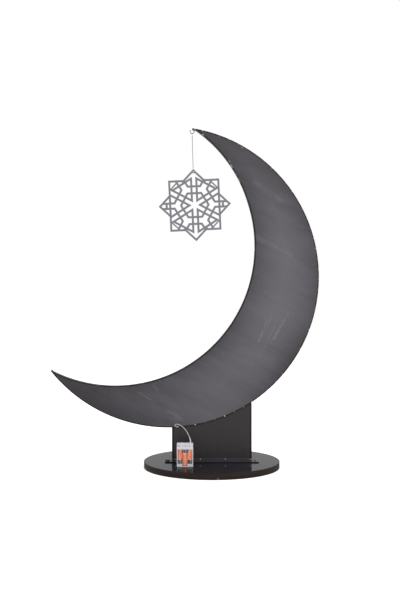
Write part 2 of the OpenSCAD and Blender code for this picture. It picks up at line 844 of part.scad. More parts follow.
// One cell in column i; up is true where its button points up
module cell(i, up) {
    foot = bay_floor + plate_t + (up ? spring_h : 0);
    in_box() translate([i * cell_pitch, cell_y, foot + cell_l / 2]) mirror([0, 0, up ? 0 : 1])
        translate([0, 0, -cell_l / 2]) {
            color([0.85, 0.45, 0.2]) cylinder(d = cell_d, h = cell_l - cell_button_h);
            color("silver") cylinder(d = cell_button_d, h = cell_l);
        }
}

module cell_left() {
    cell(-1, true);
}

module cell_middle() {
    cell(0, false);
}

module cell_right() {
    cell(1, true);
}

// Coil of one contact spring, from its wide foot at z = 0 up to the cell
function spring_points() =
    let (n = round(spring_turns * spring_rings), rise = spring_h - spring_wire_d - 2 * fit_gap)
    [
        for (i = [0 : n])
            let (s = i / n, r = (spring_d - spring_wire_d) / 2 * (1 - s * (1 - spring_top_share)))
            [r * cos(360 * i / spring_rings), r * sin(360 * i / spring_rings),
                spring_wire_d / 2 + fit_gap + rise * s]
    ];

module contact_springs() {
    color("silver") in_box() for (i = [-1, 0, 1])
        translate([i * cell_pitch, cell_y, i == 0 ? shelf_z - plate_t : bay_floor + plate_t])
            mirror([0, 0, i == 0 ? 1 : 0]) tube(spring_points(), spring_wire_d, 6, [0, 0, 1]);
}

module contact_plates() {
    side = cell_d * plate_side_share;
    color("silver") in_box() for (i = [-1, 0, 1], z = [bay_floor, shelf_z - plate_t])
        translate([i * cell_pitch - side / 2, cell_y - side / 2, z]) cube([side, side, plate_t]);
}

module circuit_board() {
    board_x = -box_w / 2 + case_wall + loose_gap;
    board_y = box_d / 2 - case_wall - pcb_t;
    chip = upper_bay_h * board_chip_share;
    color([0.1, 0.3, 0.2]) in_box() {
        translate([board_x, board_y, upper_bay_z]) cube([pcb_l, pcb_t, upper_bay_h - fit_gap]);
        for (share = chip_place_shares)
            translate([board_x + pcb_l * share - chip / 2, board_y - chip / 2, upper_bay_z + chip])
                cube([chip, chip / 2, chip]);
    }
}

module switch_body() {
    color([0.25, 0.25, 0.27]) in_box()
        translate([switch_x - switch_l / 2, -switch_w / 2, box_h - case_wall - fit_gap - switch_h])
            cube([switch_l, switch_w, switch_h]);
}

module switch_knob() {
    color([0.9, 0.9, 0.9]) in_box()
        translate([switch_x - knob_l / 2, -knob_w / 2, box_h - case_wall + run_gap]) {
            cube([knob_l, knob_w, case_wall - run_gap + knob_h]);
        }
}

module lead_gland() {
    color([0.8, 0.8, 0.8]) in_box() translate([exit_right, 0, box_h]) {
        cylinder(d = gland_d, h = gland_h);
        translate([0, 0, -case_wall - gland_h]) cylinder(d = gland_stem_d, h = case_wall + gland_h);
    }
}

module cup_hook() {
    color("silver") {
        translate([hook_cx, -board_back, hook_cz]) wire_arc(hook_r, hook_wire_d, hook_start, hook_turn);
        translate([hook_cx + hook_r * cos(hook_start), -board_back, hook_cz + hook_r * sin(hook_start)])
            sphere(d = hook_ball_d);
        translate([shank_x, -board_back, hook_cz - shank_lap])
            cylinder(d = shank_d, h = shank_top - hook_cz + shank_lap);
    }
}

// Closed loop of thread in the YZ plane
module thread_ring(r) {
    rotate([0, 90, 0]) rotate_extrude() translate([r, 0]) circle(d = loop_wire_d, $fn = 24);
}

module hook_loop() {
    color([0.8, 0.8, 0.8]) translate([hook_cx, -board_back, loop_cz]) thread_ring(loop_mid_r);
}

// Frame of the hanging thread: origin at its swing point, leaning as photographed
module in_thread() {
    translate([hook_cx, -board_back, swing_z]) rotate([0, -cord_lean, 0]) children();
}

module hanging_thread() {
    color([0.8, 0.8, 0.8]) in_thread() tube(curve(thread_points, thread_steps), thread_d, cord_sides, [0, 1, 0]);
}

module thread_knot() {
    color([0.8, 0.8, 0.8]) in_thread() translate([0, 0, knot_top - knot_h]) cylinder(d = knot_d, h = knot_h);
}

// Frame of the star: origin at the thread's lower end, leaning as photographed
module in_star() {
    in_thread() translate([0, 0, swing_end - fit_gap]) rotate([0, cord_lean - star_lean, 0]) children();
}

module star_loop() {
    color([0.8, 0.8, 0.8]) in_star() translate([0, 0, star_loop_z]) thread_ring(star_loop_r);
}

module star_knot() {
    color([0.8, 0.8, 0.8]) in_star() translate([0, 0, -star_knot_h]) cylinder(d = knot_d, h = star_knot_h);
}

// Bar between two points of its middle line
module bar(p, q, w) {
    v = q - p;
    translate(p) rotate(atan2(v[1], v[0])) translate([0, -w / 2]) square([norm(v), w]);
}

function polar(r, a) = [r * cos(a), r * sin(a)];

// Where the line at distance r with normal angle a meets the line at distance s with normal b
function lines_meet(r, a, s, b) =
    [(r * sin(b) - s * sin(a)), (s * cos(a) - r * cos(b))] / sin(b - a);

// Octagram of two squares
module octagram(r) {
    for (a = [0, 45])
        rotate(a) square(r * sqrt(2), center = true);
}

// Triangle with its apex towards the centre and its base on the outer hexagon
module lattice_triangle(a, grow) {
    arm = star_r * arm_half_share - grow;
    reach = (a % 180 == 0 ? star_r / sqrt(2) - frame_bar_w / 2 : star_r * outer_hexagon_share) + grow;
    polygon([polar(2 * arm, a), lines_meet(arm, a - 60, reach, a), lines_meet(arm, a + 60, reach, a)]);
}

module hexagon(apothem) {
    circle(r = apothem / cos(30), $fn = 6);
}

// Block with its lower corner at [x, z] in the star's plane; lap is added to both of its faces
module star_block(x, z, w, h, lap) {
    translate([x, -star_t / 2 - lap, z]) cube([w, star_t + 2 * lap, h]);
}

// Hexagon through the rungs, with three strips across it; the strips are wider towards the uprights
module rosette(grow) {
    lap = grow < 0 ? over : 0;
    narrow = star_r * arm_half_share + grow;
    slant = star_r * slant_half_share + grow;
    wide = star_r * wide_half_share + grow;
    upright(star_t / 2 + lap, star_t + 2 * lap) hexagon(star_r * rung_share + grow);
    star_block(-star_r, -narrow, 2 * star_r, 2 * narrow, lap);
    for (turn = [0, 180]) {
        rotate([0, turn - 60, 0]) star_block(0, -slant, star_r, slant + wide, lap);
        rotate([0, turn + 60, 0]) star_block(0, -wide, star_r, slant + wide, lap);
    }
}

// One of the star's bars or rings, at the star's thickness
module star_plate() {
    upright(star_t / 2, star_t) children();
}

module star_lattice() {
    half_w = lattice_bar_w / 2;
    for (a = [0 : 60 : 300])
        star_plate() difference() {
            lattice_triangle(a, half_w);
            lattice_triangle(a, -half_w);
        }
    star_plate() difference() {
        hexagon(star_r * hexagon_share + half_w);
        hexagon(star_r * hexagon_share - half_w);
    }
    difference() {
        rosette(half_w);
        rosette(-half_w);
    }
    for (side = [-1, 1])
        star_plate() translate([side * star_r * end_rung_share - half_w, -star_r * arm_half_share])
            square([2 * half_w, 2 * star_r * arm_half_share]);
}

// The square's upright sides, its corner bars, and the thick corners where it crosses the diamond
module star_corners() {
    half = star_r / sqrt(2);
    cut = half - star_r * corner_cut_share;
    for (sx = [-1, 1]) {
        star_plate() translate([sx * (half - frame_bar_w / 2), 0])
            square([frame_bar_w - 2 * fit_gap, star_r], center = true);
        for (sy = [-1, 1]) {
            star_plate() bar([sx * half, sy * cut], [sx * cut, sy * half], corner_bar_w);
            star_plate() translate([sx * (star_r - half), sy * (half - frame_bar_w / 2)])
                circle(d = 2 * frame_bar_w);
        }
    }
}

module star_pendant() {
    color([0.55, 0.55, 0.58]) in_star() translate([0, 0, star_z]) difference() {
        union() {
            star_plate() difference() {
                octagram(star_r);
                octagram(star_r - frame_bar_w * sqrt(2));
            }
            intersection() {
                union() {
                    star_lattice();
                    star_corners();
                    // Eyelet for the thread
                    star_plate() translate([0, hole_z - star_z]) circle(d = star_hole_d + 2 * eyelet_w);
                }
                upright(star_t / 2 + over, star_t + 2 * over) octagram(star_r - frame_bar_w / sqrt(2));
            }
        }
        peg(0, star_t / 2 + over, hole_z - star_z, star_hole_d, star_t + 2 * over);
    }
}

base_disc();
base_edge_band();
base_screws();
foot_bracket();
bracket_lug_screws();
bracket_pins();
stand_board();
stand_edge_trims();
back_skin();
front_skin();
outer_rim();
inner_rim();
upper_tip_block();
lower_tip_block();
spacer_blocks();
tip_nails();
string_wire();
string_beads();
lead_sleeve();
lead_wire();
battery_case();
case_cover();
cover_screw();
cell_left();
cell_middle();
cell_right();
contact_springs();
contact_plates();
circuit_board();
switch_body();
switch_knob();
lead_gland();
cup_hook();
hook_loop();
hanging_thread();
thread_knot();
star_loop();
star_knot();
star_pendant();
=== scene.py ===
"""Looks of the crescent ornament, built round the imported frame.

Everything is in metres, in the part's frame, where no other unit is named.
"""

import math

import bpy
from mathutils import Matrix, Vector


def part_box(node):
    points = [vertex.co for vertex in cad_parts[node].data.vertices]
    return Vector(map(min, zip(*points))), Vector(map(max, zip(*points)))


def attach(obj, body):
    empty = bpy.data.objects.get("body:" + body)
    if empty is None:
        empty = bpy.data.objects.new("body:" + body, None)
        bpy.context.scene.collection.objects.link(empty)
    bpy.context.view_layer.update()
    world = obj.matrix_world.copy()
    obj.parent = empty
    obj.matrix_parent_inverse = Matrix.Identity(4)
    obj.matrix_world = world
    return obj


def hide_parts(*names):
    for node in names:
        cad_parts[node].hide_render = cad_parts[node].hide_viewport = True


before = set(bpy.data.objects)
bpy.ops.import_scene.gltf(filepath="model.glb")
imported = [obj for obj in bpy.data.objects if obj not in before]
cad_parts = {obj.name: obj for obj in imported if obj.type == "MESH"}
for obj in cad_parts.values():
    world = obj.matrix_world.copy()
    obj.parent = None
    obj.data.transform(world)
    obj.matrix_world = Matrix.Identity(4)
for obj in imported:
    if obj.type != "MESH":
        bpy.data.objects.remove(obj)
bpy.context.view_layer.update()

MM = 0.001
WHITE = (1.0, 1.0, 1.0, 1.0)
BLACK = (0.0, 0.0, 0.0, 1.0)


def mm(*values):
    """A point given in millimetres."""
    return Vector([v * MM for v in values])


def srgb(*values):
    """A colour from its picture values, 0 to 255, as linear RGBA."""
    shares = [v / 255 for v in values]
    linear = [c / 12.92 if c <= 0.04045 else ((c + 0.055) / 1.055) ** 2.4 for c in shares]
    return (*linear, 1.0)


def toned(colour, share):
    """The colour made darker or lighter by a share."""
    return (*[min(1.0, c * share) for c in colour[:3]], 1.0)


def angles(count):
    """So many angles, evenly round a circle."""
    return [2 * math.pi * k / count for k in range(count)]


def add_to_scene(name, data):
    """A new object that holds the data."""
    made = bpy.data.objects.new(name, data)
    bpy.context.scene.collection.objects.link(made)
    return made


# Camera: level, 2.73 m in front of the crescent's plane

CAMERA_PLACE = mm(-34.6, -2731, 512.6)
CAMERA_SHIFT = -0.0114
SENSOR_MM = 36
LENS_MM = 55.42
VIEW_END = 50

camera = add_to_scene("camera", bpy.data.cameras.new("camera"))
camera.location = CAMERA_PLACE
camera.rotation_euler = (math.radians(90), 0, 0)
camera.data.sensor_width = SENSOR_MM
camera.data.lens = LENS_MM
camera.data.shift_y = CAMERA_SHIFT
camera.data.clip_end = VIEW_END
bpy.context.scene.camera = camera
bpy.context.scene.view_settings.view_transform = "Standard"


# Mesh helpers


def smooth_path(points, steps):
    """Points of a Catmull-Rom curve through the given ones."""
    out = []
    for i in range(len(points) - 1):
        before = points[i - 1] if i > 0 else points[0] * 2 - points[1]
        a, b = points[i], points[i + 1]
        after = points[i + 2] if i + 2 < len(points) else b * 2 - a
        for k in range(steps):
            t = k / steps
            out.append(
                0.5
                * (
                    2 * a
                    + (b - before) * t
                    + (2 * before - 5 * a + 4 * b - after) * t * t
                    + (3 * a - before - 3 * b + after) * t * t * t
                )
            )
    out.append(points[-1].copy())
    return out


def new_piece(name, verts, faces, material, body):
    """A smooth mesh object that rides on a body."""
    mesh = bpy.data.meshes.new(name)
    mesh.from_pydata([tuple(v) for v in verts], [], faces)
    mesh.validate()
    mesh.polygons.foreach_set("use_smooth", [True] * len(mesh.polygons))
    mesh.materials.append(material)
    mesh.update()
    piece = add_to_scene(name, mesh)
    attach(piece, body)
    return piece


def frames_along(path, closed):
    """A pair of directions across the path at each point, turning as little as they can."""
    n = len(path)
    tangents = []
    for i in range(n):
        if closed:
            t = path[(i + 1) % n] - path[i - 1]
        else:
            t = path[min(i + 1, n - 1)] - path[max(i - 1, 0)]
        tangents.append(t.normalized())
    across = tangents[0].orthogonal().normalized()
    out = []
    for t in tangents:
        across = (across - t * across.dot(t)).normalized()
        out.append((across, t.cross(across)))
    return out


def sweep(path, outline, closed=False):
    """Vertices and faces of a skin along a path.

    outline(i) gives the (u, v) points of its section at point i.
    """
    verts, faces = [], []
    frames = frames_along(path, closed)
    count = len(outline(0))
    for i, p in enumerate(path):
        u_dir, v_dir = frames[i]
        verts += [p + u_dir * u + v_dir * v for u, v in outline(i)]
    spans = len(path) if closed else len(path) - 1
    for i in range(spans):
        a, b = i * count, (i + 1) % len(path) * count
        for k in range(count):
            m = (k + 1) % count
            faces.append((a + k, a + m, b + m, b + k))
    if not closed:
        last = (len(path) - 1) * count
        faces.append(tuple(reversed(range(count))))
        faces.append(tuple(range(last, last + count)))
    return verts, faces


def yarn_outline(radius, plies, depth, turn, sides):
    """Section of twisted yarn: a lobed ring that turns from point to point."""

    def reach(a):
        return radius * (1 - depth + depth * math.cos(plies * a))

    def outline(i):
        return [
            (reach(a) * math.cos(a + i * turn), reach(a) * math.sin(a + i * turn))
            for a in angles(sides)
        ]

    return outline


def round_outline(radius_at, sides):
    """Section of a round tube whose radius may differ from point to point."""

    def outline(i):
        return [(radius_at(i) * math.cos(a), radius_at(i) * math.sin(a)) for a in angles(sides)]

    return outline


# Node helpers

# The Mix node's colour sockets, which share their names with its other kinds
MIX_A, MIX_B, MIX_RESULT = 6, 7, 2
# The values between which most of a noise lies
NOISE_LOW, NOISE_HIGH = 0.3, 0.7


def put(tree, socket, value):
    """Links a socket to another one, or sets it to a plain value."""
    if isinstance(value, bpy.types.NodeSocket):
        tree.links.new(value, socket)
    else:
        socket.default_value = value


def new_node(tree, kind, **inputs):
    """A node with its named inputs linked or set."""
    made = tree.nodes.new(kind)
    for socket, value in inputs.items():
        put(tree, made.inputs[socket.replace("_", " ")], value)
    return made


def new_math(tree, operation, *values, clamp=False):
    """The result of a Math node on these sockets or values."""
    made = tree.nodes.new("ShaderNodeMath")
    made.operation = operation
    made.use_clamp = clamp
    for socket, value in zip(made.inputs, values):
        put(tree, socket, value)
    return made.outputs[0]


class Shade:
    """A Principled material with colour, roughness and bump from noise in object coordinates."""

    def __init__(self, name, rough, **sockets):
        self.material = bpy.data.materials.new(name)
        self.material.use_nodes = True
        self.tree = self.material.node_tree
        self.bsdf = self.tree.nodes["Principled BSDF"]
        self.bsdf.inputs["Roughness"].default_value = rough
        for socket, value in sockets.items():
            self.bsdf.inputs[socket.replace("_", " ")].default_value = value
        self.coords = self.tree.nodes.new("ShaderNodeTexCoord").outputs["Object"]

    def node(self, kind, **inputs):
        return new_node(self.tree, kind, **inputs)

    def math(self, operation, *values, clamp=False):
        return new_math(self.tree, operation, *values, clamp=clamp)

    def plus(self, a, b, clamp=False):
        return self.math("ADD", a, b, clamp=clamp)

    def minus(self, a, b):
        return self.math("SUBTRACT", a, b)

    def times(self, a, b):
        return self.math("MULTIPLY", a, b)

    def axes(self):
        """The X, Y and Z of the object coordinates."""
        split = self.node("ShaderNodeSeparateXYZ", Vector=self.coords)
        return split.outputs[0], split.outputs[1], split.outputs[2]

    def distance(self, x, z, centre):
        """Distance from a point of the XZ plane."""
        squares = [
            self.math("POWER", self.minus(x, centre[0]), 2.0),
            self.math("POWER", self.minus(z, centre[-1]), 2.0),
        ]
        return self.math("SQRT", self.plus(*squares))

    def segment(self, x, z, a, b):
        """Distance from a straight line of the XZ plane between the points a and b."""
        run, rise = b[0] - a[0], b[1] - a[1]
        square = run * run + rise * rise
        dx, dz = self.minus(x, a[0]), self.minus(z, a[1])
        along = self.plus(self.times(dx, run / square), self.times(dz, rise / square), clamp=True)
        off_x = self.minus(dx, self.times(along, run))
        off_z = self.minus(dz, self.times(along, rise))
        return self.distance(off_x, off_z, (0.0, 0.0))

    def stroke(self, x, z, a, b, width, share):
        """The share on a line from a to b, which fades to 0 at its width."""
        return self.fit(self.segment(x, z, a, b), 0.0, width, share, 0.0)

    def noise(self, scale, detail=3.0, stretch=(1, 1, 1), dip=0.0, rough=0.5):
        """Noise, finer along an axis whose stretch is above 1.

        dip tips its X axis down, in degrees as seen from the front.
        """
        place = self.node(
            "ShaderNodeMapping",
            Vector=self.coords,
            Scale=[1 / v for v in stretch],
            Rotation=(0, math.radians(dip), 0),
        )
        place.vector_type = "TEXTURE"
        made = self.node(
            "ShaderNodeTexNoise",
            Vector=place.outputs[0],
            Scale=scale,
            Detail=detail,
            Roughness=rough,
        )
        return made.outputs["Fac"]

    def ramp(self, value, stops):
        """Bands of colour, each from its place on."""
        made = self.tree.nodes.new("ShaderNodeValToRGB")
        made.color_ramp.interpolation = "CONSTANT"
        elements = made.color_ramp.elements
        while len(elements) < len(stops):
            elements.new(1.0)
        for element, (at, colour) in zip(elements, stops):
            element.position = at
            element.color = colour
        put(self.tree, made.inputs[0], value)
        return made.outputs[0]

    def mix(self, factor, a, b):
        """The colour a where the factor is 0, and b where it is 1."""
        made = self.tree.nodes.new("ShaderNodeMix")
        made.data_type = "RGBA"
        put(self.tree, made.inputs[0], factor)
        put(self.tree, made.inputs[MIX_A], a)
        put(self.tree, made.inputs[MIX_B], b)
        return made.outputs[MIX_RESULT]

    def fit(self, value, low, high, to_low, to_high):
        """The range from low to high carried over to another one, and held at its ends."""
        made = self.node(
            "ShaderNodeMapRange",
            Value=value,
            From_Min=low,
            From_Max=high,
            To_Min=to_low,
            To_Max=to_high,
        )
        return made.outputs[0]

    def spread(self, noise, to_low, to_high):
        """A noise carried over to a range."""
        return self.fit(noise, NOISE_LOW, NOISE_HIGH, to_low, to_high)

    def colour(self, value):
        put(self.tree, self.bsdf.inputs["Base Color"], value)

    def roughness(self, value):
        put(self.tree, self.bsdf.inputs["Roughness"], value)

    def bump(self, height, distance):
        made = self.node("ShaderNodeBump", Height=height, Distance=distance, Strength=1.0)
        put(self.tree, self.bsdf.inputs["Normal"], made.outputs[0])


# Materials

# The scale of a plain surface's grain, as a multiple of its mottling's
GRAIN_TIMES = 8


def plain(
    name, colour, rough, vary=0.12, scale=120.0, bump=0.02, stretch=(1, 1, 1), over=None, **sockets
):
    """A surface of one colour with mottling, uneven gloss and a fine grain, bump mm deep.

    over(shade, colour) adds marks to its colour.
    """
    s = Shade(name, rough, **sockets)
    mottle = s.noise(scale, stretch=stretch)
    base = s.mix(mottle, toned(colour, 1 - vary), toned(colour, 1 + vary))
    s.colour(over(s, base) if over else base)
    s.roughness(s.spread(mottle, max(0.03, rough * 0.8), min(1.0, rough * 1.2)))
    s.bump(s.noise(scale * GRAIN_TIMES, 2.0, stretch), bump * MM)
    return s.material


def metal(name, colour, rough):
    """Bare metal, hardly mottled."""
    return plain(name, colour, rough, 0.1, 300.0, 0.01, Metallic=1.0)


# Centres and radii of the crescent's two curves
OUTER_C, OUTER_R = mm(-127.205, 0, 560.1), 0.4397
INNER_C, INNER_R = mm(-283.935, 0, 650.59), 0.4093
# Where the panel's painted light is palest, and the middle of a patch of painted light at its foot,
# thrown up from the base's top
PANEL_BRIGHT = mm(180, 0, 530)
FOOT_LIGHT_C = mm(-30, 0, 130)
# Light scratches and wipe marks of the panel: both ends as (x, z), width and strength
SCRATCHES = (
    ((0.2225, 0.4540), (0.1810, 0.3770), 0.0030, 0.26),
    ((0.1602, 0.4300), (0.1366, 0.3700), 0.0030, 0.22),
    ((0.2080, 0.4350), (0.1690, 0.3620), 0.0024, 0.12),
    ((0.1850, 0.4200), (0.1400, 0.3280), 0.0024, 0.10),
    ((0.1760, 0.4480), (0.1600, 0.4100), 0.0040, 0.08),
    ((-0.2160, 0.2240), (-0.1780, 0.2010), 0.0020, 0.26),
    ((-0.2080, 0.2250), (-0.1720, 0.2080), 0.0016, 0.12),
    ((-0.1700, 0.2400), (-0.1580, 0.2310), 0.0075, 0.12),
    ((-0.1270, 0.1660), (-0.0950, 0.1500), 0.0080, 0.15),
    ((-0.1080, 0.1470), (-0.0860, 0.1420), 0.0060, 0.14),
    ((-0.1655, 0.2550), (-0.1645, 0.2555), 0.0022, 0.55),
    ((-0.1553, 0.2575), (-0.1540, 0.2580), 0.0022, 0.55),
    ((0.1000, 0.6900), (0.2300, 0.6250), 0.0120, 0.10),
    ((0.1250, 0.8350), (0.2000, 0.7850), 0.0100, 0.09),
)
# Dark marks beside its edges
DARK_EDGE_MARKS = (
    ((-0.3330, 0.2420), (-0.3315, 0.2380), 0.0022, 0.7),
    ((-0.2050, 0.2450), (-0.2010, 0.2420), 0.0022, 0.7),
    ((-0.0830, 0.2900), (-0.0810, 0.2870), 0.0026, 0.85),
    ((0.0215, 0.3750), (0.0240, 0.3700), 0.0026, 0.6),
    ((-0.2725, 0.1530), (-0.2700, 0.1500), 0.0024, 0.7),
    ((0.0170, 0.1480), (0.0195, 0.1480), 0.0026, 0.8),
)
# Spots beside its edges where the paint is worn, each with the colour that shows
WORN = (
    ((0.0850, 0.9400), (0.0910, 0.9365), 0.0026, 0.7, srgb(132, 132, 140)),
    ((0.0500, 0.8995), (0.0530, 0.8945), 0.0026, 0.8, srgb(132, 132, 140)),
    ((0.0555, 0.8870), (0.0590, 0.8800), 0.0028, 0.9, srgb(146, 146, 156)),
    ((0.0712, 0.8600), (0.0722, 0.8580), 0.0020, 0.6, srgb(132, 132, 140)),
    ((0.0775, 0.8470), (0.0822, 0.8375), 0.0028, 0.75, srgb(146, 120, 102)),
)
# The Y over which the worn spots fade out behind the wired side
WIRED_SIDE = (-0.021, -0.018)
# How far the panel's painted light stays pale from its palest place, and how fast it then darkens
PALE_REACH, PALE_POWER = (0.05, 0.65), 1.6
# The X over which the painted light grows from its lower tip on
TIP_SIDE = (-0.45, 0.0)
# The width of its painted shade beside its edges and the Z over which it fades, and the Z and X
# past its foot
SHADE_WIDTH, SHADE_FADE = 0.12, (0.2, 0.45)
ABOVE_FOOT, BESIDE_FOOT = (0.2, 0.36), (0.05, 0.2)
# The radius of the painted light at its foot, thrown up from the base's top
FOOT_LIGHT_REACH = 0.17
# The depth of the painted shade line along its inner edge, standing for the inner rim's shaded
# underside, and the X from which it shows
SHADE_LINE_DEPTH, SHADE_LINE_FROM = (0.0034, 0.0052), (-0.22, -0.16)


def worn(s, base):
    """The colour base, with the worn spots on the wired side."""
    x, y, z = s.axes()
    wired = s.fit(y, *WIRED_SIDE, 1.0, 0.0)
    for a, b, width, share, shown in WORN:
        base = s.mix(s.times(s.stroke(x, z, a, b, width, share), wired), base, shown)
    return base


def panel_painted_light(s, x, z, edge):
    """Painted light and shade of the panel before its grain: palest on the right, painted shade
    beside its edges, and painted light from the base at its foot.
    """
    # Painted light, palest on the right and weaker towards the lower tip
    away = s.fit(s.distance(x, z, PANEL_BRIGHT), *PALE_REACH, 0.0, 1.0)
    pale = s.minus(1.0, s.math("POWER", away, PALE_POWER))
    pale = s.times(pale, s.fit(x, *TIP_SIDE, 0.6, 1.0))
    # Painted shade beside the edges, held back past the foot
    near_edge = s.math("POWER", s.fit(edge, 0.0, SHADE_WIDTH, 1.0, 0.0), 2.0)
    past_foot = s.math(
        "MAXIMUM", s.fit(z, *ABOVE_FOOT, 0.1, 1.0), s.fit(x, *BESIDE_FOOT, 0.1, 1.0)
    )
    dim = s.times(s.times(near_edge, s.fit(z, *SHADE_FADE, 0.95, 0.7)), past_foot)
    tone = s.times(pale, s.minus(1.0, dim))
    # Painted light from the base's top, at the panel's foot
    return s.plus(tone, s.fit(s.distance(x, z, FOOT_LIGHT_C), 0.0, FOOT_LIGHT_REACH, 0.25, 0.0))


def panel_material():
    """Charcoal painted board, with painted light palest on its right, painted shade beside its
    edges and painted light from the base at its foot.

    It has soft wipe marks, scratches, dark marks beside its edges, worn spots, and a painted shade
    line along its inner edge for the inner rim's shaded underside.
    """
    s = Shade("charcoal_panel", 0.45, Specular_IOR_Level=0.3)
    x, _, z = s.axes()
    from_outer = s.minus(OUTER_R, s.distance(x, z, OUTER_C))
    from_inner = s.minus(s.distance(x, z, INNER_C), INNER_R)
    wipes = s.noise(7.0, 5.0, (0.45, 1.0, 2.4), dip=25.0, rough=0.6)
    fine = s.noise(45.0, 4.0, (0.5, 1.0, 1.4), dip=30.0, rough=0.6)
    steep = s.noise(36.0, 3.0, (0.3, 1.0, 3.5), dip=-61.0, rough=0.6)
    tone = panel_painted_light(s, x, z, s.math("MINIMUM", from_outer, from_inner))
    for grain, share in ((wipes, 0.75), (fine, 0.22), (steep, 0.08)):
        tone = s.plus(tone, s.times(s.minus(grain, 0.5), share))
    base = s.mix(s.math("MULTIPLY", tone, 1.0, clamp=True), srgb(47, 42, 48), srgb(99, 97, 102))
    broken = s.fit(fine, 0.4, 0.6, 0.3, 1.0)
    for scratch in SCRATCHES:
        base = s.mix(s.times(s.stroke(x, z, *scratch), broken), base, srgb(166, 165, 172))
    for nick in DARK_EDGE_MARKS:
        base = s.mix(s.stroke(x, z, *nick), base, srgb(22, 21, 24))
    # Painted shade line beside the inner edge, standing for the inner rim's shaded underside
    line = s.times(s.fit(from_inner, *SHADE_LINE_DEPTH, 0.8, 0.0), s.fit(x, *SHADE_LINE_FROM, 0.0, 1.0))
    s.colour(worn(s, s.mix(line, base, srgb(15, 14, 16))))
    s.roughness(s.spread(wipes, 0.5, 0.38))
    s.bump(s.noise(900.0, 2.0), 0.02 * MM)
    return s.material


def laminate_material():
    """Dark laminate of the base: low sheen face on, near mirror at a flat angle."""
    s = Shade("base_laminate", 0.1, IOR=1.076)
    cloud = s.noise(14.0, 4.0)
    s.colour(s.mix(cloud, srgb(38, 36, 41), srgb(52, 49, 55)))
    s.roughness(s.spread(cloud, 0.07, 0.13))
    s.bump(s.noise(260.0, 2.0), 0.004 * MM)
    return s.material


# The light chip at the front of the edge band
CHIP_C, CHIP_R = mm(14.6, 0, 3.0), 0.0016


def edge_band_material():
    """Brown-black edge band with faint streaks along it and one light chip at the front."""
    s = Shade("edge_band", 0.7, Specular_IOR_Level=0.08)
    x, y, z = s.axes()
    streak = s.noise(60.0, 4.0, (0.15, 0.15, 9.0))
    base = s.mix(s.spread(streak, 0.0, 1.0), srgb(34, 27, 26), srgb(53, 44, 41))
    within = s.math("LESS_THAN", s.distance(x, z, CHIP_C), CHIP_R)
    chip = s.times(within, s.math("LESS_THAN", y, 0.0))
    s.colour(s.mix(s.times(chip, 0.8), base, srgb(190, 180, 172)))
    s.roughness(s.spread(streak, 0.75, 0.6))
    s.bump(streak, 0.05 * MM)
    return s.material


# Bands of a cell from its flat end: where each begins, as a share of its length, and its look
CELL_BANDS = ((0.0, "bare"), (0.035, "black"), (0.27, "bare"), (0.3, "orange"), (0.95, "bare"))
CELL_COLOURS = {
    "bare": srgb(206, 206, 208),
    "black": srgb(40, 42, 50),
    "orange": srgb(252, 126, 66),
}


def cell_material(side, up):
    """Plain wrap of one cell, dark near its flat end and else orange, with bare metal ends and
    painted highlights streaked along it.

    up is true where the flat end is the lower one.
    """
    s = Shade("cell_wrap_" + side, 0.28, Specular_IOR_Level=0.6)
    _, _, z = s.axes()
    low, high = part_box("cell_" + side)
    flat_end, button = (low.z, high.z) if up else (high.z, low.z)
    share = s.fit(z, flat_end, button, 0.0, 1.0)
    bands = s.ramp(share, [(at, CELL_COLOURS[look]) for at, look in CELL_BANDS])
    bare = s.ramp(share, [(at, WHITE if look == "bare" else BLACK) for at, look in CELL_BANDS])
    # Painted highlights: whitish streaks along the cell, placed by this noise, which also gives the
    # bump
    highlight_noise = s.noise(90.0, 3.0, (3.0, 1.0, 0.6))
    s.colour(s.mix(s.fit(highlight_noise, 0.5, 0.68, 0.0, 0.55), bands, srgb(255, 226, 214)))
    put(s.tree, s.bsdf.inputs["Metallic"], bare)
    s.bump(highlight_noise, 0.01 * MM)
    return s.material


# The foot bracket: its plate's thickness, and the end of its left lug, past which its painted sheen
# begins
PLATE_T = 0.0028
LEFT_LUG_END = -0.1235
# Painted highlight lines on its flange: their heights above the plate, and half their widths
FLANGE_HIGHLIGHTS = ((0.0081, 0.0007), (0.0011, 0.0006))


def bracket_material():
    """Black steel, with a painted sheen on its upper faces past the left lug and painted highlight
    lines along the flange's edges.
    """
    s = Shade("black_coat", 0.55, Specular_IOR_Level=0.25)
    x, _, z = s.axes()
    grain = s.noise(500.0, 3.0)
    plate_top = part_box("foot_bracket")[0].z + PLATE_T
    black = s.mix(grain, srgb(15, 14, 16), srgb(26, 25, 28))
    # Painted sheen: the upper faces past the left lug are lighter, and less rough
    past_lug = s.math("GREATER_THAN", x, LEFT_LUG_END)
    upper = s.times(s.math("GREATER_THAN", z, plate_top), past_lug)
    base = s.mix(upper, black, srgb(54, 51, 56))
    # Painted highlights along the flange's top edge and fold
    lines = [s.math("COMPARE", z, plate_top + above, half) for above, half in FLANGE_HIGHLIGHTS]
    painted_highlights = s.math("MAXIMUM", *lines)
    s.colour(s.mix(s.times(painted_highlights, 0.6), base, srgb(84, 82, 88)))
    s.roughness(s.minus(s.spread(grain, 0.92, 1.0), s.times(upper, 0.42)))
    s.bump(grain, 0.03 * MM)
    return s.material


def lug_screw_material():
    """Blackened screws; the right-hand one is lighter grey."""
    s = Shade("black_screw", 0.8, Specular_IOR_Level=0.1)
    x, _, _ = s.axes()
    grain = s.noise(400.0, 3.0)
    bare = s.math("GREATER_THAN", x, 0.0)
    s.colour(s.mix(bare, s.mix(grain, srgb(8, 8, 9), srgb(16, 16, 18)), srgb(92, 90, 95)))
    s.roughness(s.spread(grain, 0.7, 0.9))
    s.bump(grain, 0.02 * MM)
    return s.material


